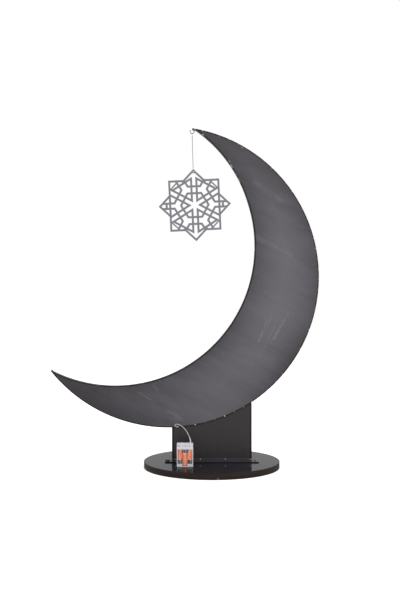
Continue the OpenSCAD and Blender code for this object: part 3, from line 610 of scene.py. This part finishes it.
def stand_material():
    """Near-black laminate with a very fine upright figure."""
    s = Shade("stand_laminate", 0.45, Specular_IOR_Level=0.3)
    figure = s.noise(30.0, 5.0, (3.0, 3.0, 0.5), rough=0.6)
    s.colour(s.mix(s.spread(figure, 0.0, 1.0), srgb(40, 35, 38), srgb(45, 40, 43)))
    s.roughness(s.spread(figure, 0.38, 0.5))
    s.bump(s.noise(600.0, 2.0), 0.01 * MM)
    return s.material


def bead_material():
    """Clear resin over a yellow chip, which shows where a bead faces outwards, most at the foot."""
    s = Shade(
        "bead_resin", 0.25, Subsurface_Weight=0.1, Subsurface_Radius=(0.002, 0.0015, 0.001)
    )
    _, _, z = s.axes()
    facing = s.fit(s.noise(21.0, 1.0), 0.45, 0.6, 0.0, 1.0)
    shown = s.times(facing, s.fit(z, 0.16, 0.3, 1.0, 0.45))
    s.colour(s.mix(shown, srgb(104, 90, 80), srgb(228, 208, 152)))
    s.roughness(s.spread(s.noise(900.0, 2.0), 0.18, 0.32))
    s.bump(s.noise(1500.0, 2.0), 0.02 * MM)
    return s.material


# Where the box's plastic turns from white to clear or back: distances from its rims, where the
# white is painted reflection, heights above its foot, distances from its middle, and heights up to
# its head
NEAR_RIM = (0.0012, 0.0026)
NEAR_FOOT = (0.0060, 0.0090)
NEAR_MIDDLE = (0.0060, 0.0090)
NEAR_HEAD = (0.0480, 0.0500)
# The height of the row of faint marks, and how it fades upwards and downwards
ROW_HEIGHT, ROW_FADE = 0.0590, (0.0010, 0.0028)


def clear_material():
    """Clear moulded plastic, whitish at its closed upper end and two lower corners, with painted
    reflection whitening its rims where the walls are seen edge-on.
    """
    s = Shade("clear_plastic", 0.1, Specular_IOR_Level=0.6)
    x, _, z = s.axes()
    low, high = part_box("battery_case")
    side = s.math("MINIMUM", s.minus(x, low.x), s.minus(high.x, x))
    end = s.math("MINIMUM", s.minus(z, low.z), s.minus(high.z, z))
    above = s.minus(z, low.z)
    aside = s.math("ABSOLUTE", s.minus(x, (low.x + high.x) / 2))
    cloud = s.noise(260.0, 3.0)
    # Painted reflection: the rims are whitened where the walls are seen edge-on
    rim = s.fit(s.math("MINIMUM", side, end), *NEAR_RIM, 1.0, 0.0)
    upper = s.fit(above, *NEAR_HEAD, 0.0, 0.85)
    lower = s.times(s.fit(above, *NEAR_FOOT, 0.8, 0.0), s.fit(aside, *NEAR_MIDDLE, 0.0, 1.0))
    # Whitish plastic at the upper end and lower corners, and painted reflection at the rims
    white = s.math("MAXIMUM", rim, s.math("MAXIMUM", upper, lower))
    row = s.fit(s.math("ABSOLUTE", s.minus(above, ROW_HEIGHT)), *ROW_FADE, 1.0, 0.0)
    blots = s.fit(s.noise(330.0, 2.0, (1.0, 1.0, 0.4)), 0.42, 0.56, 0.0, 0.6)
    base = s.mix(cloud, srgb(226, 226, 232), srgb(252, 252, 255))
    s.colour(s.mix(s.times(row, blots), base, srgb(126, 116, 130)))
    put(s.tree, s.bsdf.inputs["Alpha"], s.fit(white, 0.0, 1.0, 0.035, 0.92))
    s.roughness(s.spread(cloud, 0.06, 0.16))
    s.bump(s.noise(500.0, 2.0), 0.01 * MM)
    return s.material


def yarn_material(name, colour):
    """Matt fibres that run along the thread."""
    s = Shade(name, 0.75, Specular_IOR_Level=0.3)
    fibre = s.noise(3000.0, 3.0, (1, 1, 0.3))
    s.colour(s.mix(fibre, toned(colour, 0.8), toned(colour, 1.15)))
    s.roughness(s.spread(fibre, 0.65, 0.85))
    s.bump(fibre, 0.05 * MM)
    return s.material


# Looks of the two rim strips
STRIP_LOOK = dict(
    colour=srgb(13, 12, 14), rough=0.55, vary=0.2, scale=60.0, Specular_IOR_Level=0.2
)
THREAD = yarn_material("thread", srgb(34, 34, 36))
COPPER = metal("copper_wire", srgb(104, 70, 58), 0.45)
LEAD = plain("lead_plastic", srgb(214, 212, 212), 0.35, 0.06, 300.0, 0.01)
CLEAR = clear_material()
PANEL = panel_material()
STEEL_BRIGHT = metal("bright_steel", srgb(196, 196, 200), 0.28)
SOFTWOOD = plain("softwood", srgb(186, 150, 104), 0.7, 0.2, 30.0, 0.1, (1, 1, 8))
CONTACT = metal("nickel_contact", srgb(205, 205, 200), 0.25)

NODE_MATERIALS = {
    "base_disc": laminate_material(),
    "base_edge_band": edge_band_material(),
    "base_screws": metal("zinc", srgb(170, 170, 172), 0.35),
    "foot_bracket": bracket_material(),
    "bracket_lug_screws": lug_screw_material(),
    "bracket_pins": STEEL_BRIGHT,
    "stand_board": stand_material(),
    "stand_edge_trims": plain(
        "edge_trim", srgb(14, 13, 15), 0.5, 0.2, 90.0, Specular_IOR_Level=0.25
    ),
    "back_skin": PANEL,
    "front_skin": PANEL,
    "outer_rim": plain("black_strip", **STRIP_LOOK),
    "inner_rim": plain("inner_strip", over=worn, **STRIP_LOOK),
    "upper_tip_block": SOFTWOOD,
    "lower_tip_block": SOFTWOOD,
    "spacer_blocks": SOFTWOOD,
    "tip_nails": plain("zinc_nail", srgb(198, 198, 202), 0.5, 0.1, 500.0),
    "string_beads": bead_material(),
    "lead_sleeve": LEAD,
    "battery_case": CLEAR,
    "case_cover": CLEAR,
    "cover_screw": STEEL_BRIGHT,
    "cell_left": cell_material("left", True),
    "cell_middle": cell_material("middle", False),
    "cell_right": cell_material("right", True),
    "contact_springs": CONTACT,
    "contact_plates": CONTACT,
    "circuit_board": plain("board_green", srgb(48, 96, 72), 0.45, 0.25, 700.0),
    "switch_body": plain("switch_grey", srgb(96, 96, 100), 0.45),
    "switch_knob": plain("knob_white", srgb(220, 220, 218), 0.35, 0.04),
    "lead_gland": plain("gland_plastic", srgb(196, 196, 196), 0.4, 0.05),
    "cup_hook": metal("hook_chrome", srgb(112, 112, 118), 0.25),
    "star_pendant": plain("star_silver", srgb(118, 118, 126), 0.4, 0.1, 160.0),
}
for node, material in NODE_MATERIALS.items():
    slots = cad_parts[node].data.materials
    if len(slots) == 0:
        slots.append(material)
    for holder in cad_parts[node].material_slots:
        holder.material = material


# Lead from the battery box to the rim, and its relief

gland_low, gland_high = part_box("lead_gland")
GLAND_END = Vector((*((gland_low + gland_high) / 2).xy, gland_high.z))
SLEEVE_START = mm(-103.51, -36.85, 122.54)
# Its route in millimetres: up from the gland, and then down to the sleeve
RISE = (
    (0, 0, 0),
    (0, 0, 5),
    (-1.7, 2, 11.5),
    (-5, 6.8, 18.8),
    (-9.7, 13.6, 26.3),
    (-15.5, 22.4, 33.3),
)
FALL = (
    (19.5, -23.9, 2.9),
    (12.6, -16.1, 6.5),
    (6.6, -10.2, 8.4),
    (2.4, -6.6, 8.9),
    (-1.2, -4.2, 8.2),
    (-3.7, -2.8, 5.9),
    (-4.3, -1.9, 3.2),
    (-3.2, -1.1, 1.2),
    (-1.6, -0.45, 0.25),
    (-0.1, -0.05, 0),
)
LEAD_ROUTE = [GLAND_END + mm(*p) for p in RISE] + [SLEEVE_START + mm(*p) for p in FALL]
LEAD_D = 0.0017
LEAD_STEPS = 6
LEAD_BEVEL = 4


def cord_curve(name, points, diameter, material, body):
    """A round cord as a curve with closed ends, which rides on a body."""
    data = bpy.data.curves.new(name, "CURVE")
    data.dimensions = "3D"
    data.bevel_depth = diameter / 2
    data.bevel_resolution = LEAD_BEVEL
    data.use_fill_caps = True
    spline = data.splines.new("POLY")
    spline.points.add(len(points) - 1)
    for point, p in zip(spline.points, points):
        point.co = (*p, 1.0)
    spline.use_smooth = True
    data.materials.append(material)
    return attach(add_to_scene(name, data), body)


lead_path = smooth_path(LEAD_ROUTE, LEAD_STEPS)
lead = cord_curve("lead", lead_path, LEAD_D, LEAD, "root")
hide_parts("lead_wire")

# The relief follows the first points of the lead's route, in so many steps between two of them
RELIEF_ROUTE, RELIEF_STEPS, RELIEF_POINTS = 4, 9, 24
RELIEF_SIDES = 20
# Its radius at the gland, what it loses up to the lead, and how deep its grooves are, in mm
RELIEF_R, RELIEF_TAPER, RELIEF_GROOVE = 2.1, 1.1, 0.22
# Every fourth point has a groove, up to this share of its length
GROOVE_EVERY, GROOVES_END = 4, 0.8
relief_path = smooth_path(LEAD_ROUTE[:RELIEF_ROUTE], RELIEF_STEPS)[:RELIEF_POINTS]


def relief_radius(i):
    """Tapers from the gland to the lead, with moulded rings."""
    share = i / (len(relief_path) - 1)
    grooved = i % GROOVE_EVERY == GROOVE_EVERY // 2 and share < GROOVES_END
    return (RELIEF_R - RELIEF_TAPER * share - (RELIEF_GROOVE if grooved else 0.0)) * MM


relief = new_piece(
    "lead_relief",
    *sweep(relief_path, round_outline(relief_radius, RELIEF_SIDES)),
    LEAD,
    "root",
)


# Thread, its loops and knots

SWING = mm(-57.61, -24.5, 974.6)
HOOK_RING_C = mm(-57.61, -24.5, 978.2)
STAR_ORIGIN = mm(-54.82, -24.5, 880.59)
THREAD_LEAN = math.radians(-1.7)
STAR_LEAN = math.radians(-2.6)
in_thread = Matrix.Translation(SWING) @ Matrix.Rotation(THREAD_LEAN, 4, "Y")
in_star = Matrix.Translation(STAR_ORIGIN) @ Matrix.Rotation(STAR_LEAN, 4, "Y")
YARN_SIDES = 12
# The thread's two ends in millimetres above its swing, and the steps between them
THREAD_TOP, THREAD_LOW, THREAD_STEPS = -2.8, -94.0, 180
THREAD_R = 0.8 * MM
# Radii of the two loops in millimetres, and the lobes that pass in a round, so that plies meet
HOOK_RING_R, HOOK_RING_LOBES = 3.6, 8
STAR_RING_R, STAR_RING_LOBES = 4.4, 9
# The middle of the star's loop above the star's origin, in millimetres
STAR_RING_Z = -7.05
# Points of a loop for each millimetre of its radius
RING_POINTS = 20
RING_PLIES = 3
RING_PLY = 0.4 * MM
# Height of a knot's wraps, their radius and the radius of their yarn
KNOT_H, KNOT_R, KNOT_PLY = 1.4 * MM, 0.78 * MM, 0.42 * MM
KNOT_TURNS, KNOT_STEPS = 2.6, 64
# Each end tucks in over one part in so many of the wraps
KNOT_TUCK = 8


def yarn(name, path, radius, body, closed=False, turns_per_mm=0.35, plies=RING_PLIES, depth=0.06):
    """A thread twisted of so many plies along a path, with grooves of that depth between them."""
    step = (path[1] - path[0]).length / MM
    turn = 2 * math.pi * turns_per_mm * step
    verts, faces = sweep(path, yarn_outline(radius, plies, depth, turn, YARN_SIDES), closed)
    piece = new_piece(name, verts, faces, THREAD, body)
    return piece


def thread_loop(name, centre, radius, lobes, body):
    """A closed loop of thread round the X axis of its centre, the radius in millimetres."""
    around = angles(round(RING_POINTS * radius))
    reach = radius * MM
    path = [centre @ Vector((0, reach * math.cos(a), reach * math.sin(a))) for a in around]
    turns = lobes / (radius * 2 * math.pi) / RING_PLIES
    return yarn(name, path, RING_PLY, body, closed=True, turns_per_mm=turns)


def knot(name, matrix, top, body):
    """The wraps of a knot round the thread, with both ends tucked in."""
    path = []
    for k in range(KNOT_STEPS + 1):
        share = k / KNOT_STEPS
        a = 2 * math.pi * KNOT_TURNS * share
        out = KNOT_R * min(1.0, share * KNOT_TUCK, (1 - share) * KNOT_TUCK)
        down = KNOT_H * (0.5 - 0.5 * math.cos(math.pi * share))
        path.append(matrix @ Vector((out * math.cos(a), out * math.sin(a), top - down)))
    return yarn(name, path, KNOT_PLY, body)


thread_path = [
    in_thread @ mm(0, 0, THREAD_TOP + (THREAD_LOW - THREAD_TOP) * k / THREAD_STEPS)
    for k in range(THREAD_STEPS + 1)
]
thread = yarn("thread", thread_path, THREAD_R, "thread", turns_per_mm=0.12, plies=2, depth=0.13)
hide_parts("hanging_thread")
hook_ring = thread_loop(
    "hook_ring", Matrix.Translation(HOOK_RING_C), HOOK_RING_R, HOOK_RING_LOBES, "hook_loop"
)
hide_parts("hook_loop")
star_ring = thread_loop(
    "star_ring",
    in_star @ Matrix.Translation(mm(0, 0, STAR_RING_Z)),
    STAR_RING_R,
    STAR_RING_LOBES,
    "star",
)
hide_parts("star_loop")
upper_knot = knot("upper_knot", in_thread, -0.9 * MM, "thread")
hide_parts("thread_knot")
lower_knot = knot("lower_knot", in_star, -0.4 * MM, "star")
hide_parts("star_knot")


# Light string: two strands twisted together between the beads

STRING_R = 0.4382
STRING_Y = -0.0359
# Angles on the rim, in degrees
FIRST_BEAD, LAST_BEAD, BEADS = -79.7, 70.0, 39
BEAD_L, SLEEVE_L = 0.0036, 0.006
BEAD_STEP = (LAST_BEAD - FIRST_BEAD) / (BEADS - 1)
BEAD_TURN = math.degrees(BEAD_L / STRING_R)
SLEEVE_END = -86.9 + math.degrees(SLEEVE_L / STRING_R)
STRAND_R = 0.00012
STRAND_SIDES = 5
TWIST_PITCH_DEG = 0.62
STEPS_PER_TWIST, LEAST_STEPS = 10, 8


def on_rim(angle, radius, y):
    """The point at an angle of the outer curve, in degrees."""
    a = math.radians(angle)
    return Vector((OUTER_C.x + radius * math.cos(a), y, OUTER_C.z + radius * math.sin(a)))


def strand(first, last, phase):
    """One strand of the twisted pair, from one angle on the rim to another."""
    steps = max(LEAST_STEPS, round(abs(last - first) / TWIST_PITCH_DEG * STEPS_PER_TWIST))
    path = []
    for k in range(steps + 1):
        angle = first + (last - first) * k / steps
        twist = 2 * math.pi * (angle - first) / TWIST_PITCH_DEG + phase
        radius = STRING_R + STRAND_R * math.cos(twist)
        path.append(on_rim(angle, radius, STRING_Y + STRAND_R * math.sin(twist)))
    return sweep(path, round_outline(lambda i: STRAND_R, STRAND_SIDES))


string_verts, string_faces = [], []
stretches = [(SLEEVE_END, FIRST_BEAD - BEAD_TURN / 2)]
for i in range(BEADS - 1):
    start = FIRST_BEAD + i * BEAD_STEP + BEAD_TURN / 2
    stretches.append((start, start + BEAD_STEP - BEAD_TURN))
for first, last in stretches:
    for phase in (0.0, math.pi):
        verts, faces = strand(first, last, phase)
        offset = len(string_verts)
        string_verts += verts
        string_faces += [tuple(v + offset for v in f) for f in faces]
string_twist = new_piece("string_twist", string_verts, string_faces, COPPER, "root")
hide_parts("string_wire")


# Studio: pale floor, white background and soft light

WORLD_LIGHT = 0.55
FLOOR_GREY = (0.86, 0.86, 0.86, 1)
FLOOR_GLOW = 0.62
FLOOR_HALF = 6.0
FLOOR_Z = -0.0002
LAMP_AIM = Vector((-0.1, 0, 0.5))


def background_ray(tree):
    """1 for the rays that see the background as the camera does, else 0."""
    path = tree.nodes.new("ShaderNodeLightPath").outputs
    both = new_math(tree, "MAXIMUM", path["Is Camera Ray"], path["Is Glossy Ray"])
    return new_math(tree, "MAXIMUM", both, path["Is Transmission Ray"])


def join_shaders(tree, kind, *values):
    """The result of a node whose inputs are taken in their order."""
    made = tree.nodes.new(kind)
    for socket, value in zip(made.inputs, values):
        put(tree, socket, value)
    return made.outputs[0]


world = bpy.data.worlds.new("studio")
bpy.context.scene.world = world
world.use_nodes = True
tree = world.node_tree
tree.nodes.clear()
light = new_node(tree, "ShaderNodeBackground", Color=WHITE, Strength=WORLD_LIGHT).outputs[0]
seen = new_node(tree, "ShaderNodeBackground", Color=WHITE, Strength=1.0).outputs[0]
surface = join_shaders(tree, "ShaderNodeMixShader", background_ray(tree), light, seen)
new_node(tree, "ShaderNodeOutputWorld", Surface=surface)

floor_material = bpy.data.materials.new("pale_floor")
floor_material.use_nodes = True
tree = floor_material.node_tree
tree.nodes.clear()
cloth = new_node(tree, "ShaderNodeBsdfDiffuse", Color=FLOOR_GREY).outputs[0]
strength = new_math(tree, "MULTIPLY", background_ray(tree), FLOOR_GLOW)
glow = new_node(tree, "ShaderNodeEmission", Color=WHITE, Strength=strength).outputs[0]
surface = join_shaders(tree, "ShaderNodeAddShader", cloth, glow)
new_node(tree, "ShaderNodeOutputMaterial", Surface=surface)

floor_mesh = bpy.data.meshes.new("floor")
corners = ((-1, -1), (1, -1), (1, 1), (-1, 1))
floor_mesh.from_pydata(
    [(x * FLOOR_HALF, y * FLOOR_HALF, FLOOR_Z) for x, y in corners], [], [(0, 1, 2, 3)]
)
floor_mesh.materials.append(floor_material)
floor = add_to_scene("floor", floor_mesh)

# Square lamps that face the middle of the ornament: name, place, size and power
LAMPS = (
    ("key", (1.6, -2.6, 2.4), 1.6, 46),
    ("fill", (-2.2, -1.8, 1.4), 1.8, 20),
    ("back", (0.6, 2.4, 2.2), 1.6, 24),
)
for name, place, size, power in LAMPS:
    lamp = bpy.data.lights.new(name, "AREA")
    lamp.size = size
    lamp.energy = power
    holder = add_to_scene(name, lamp)
    holder.location = place
    holder.rotation_euler = (LAMP_AIM - Vector(place)).to_track_quat("-Z", "Y").to_euler()
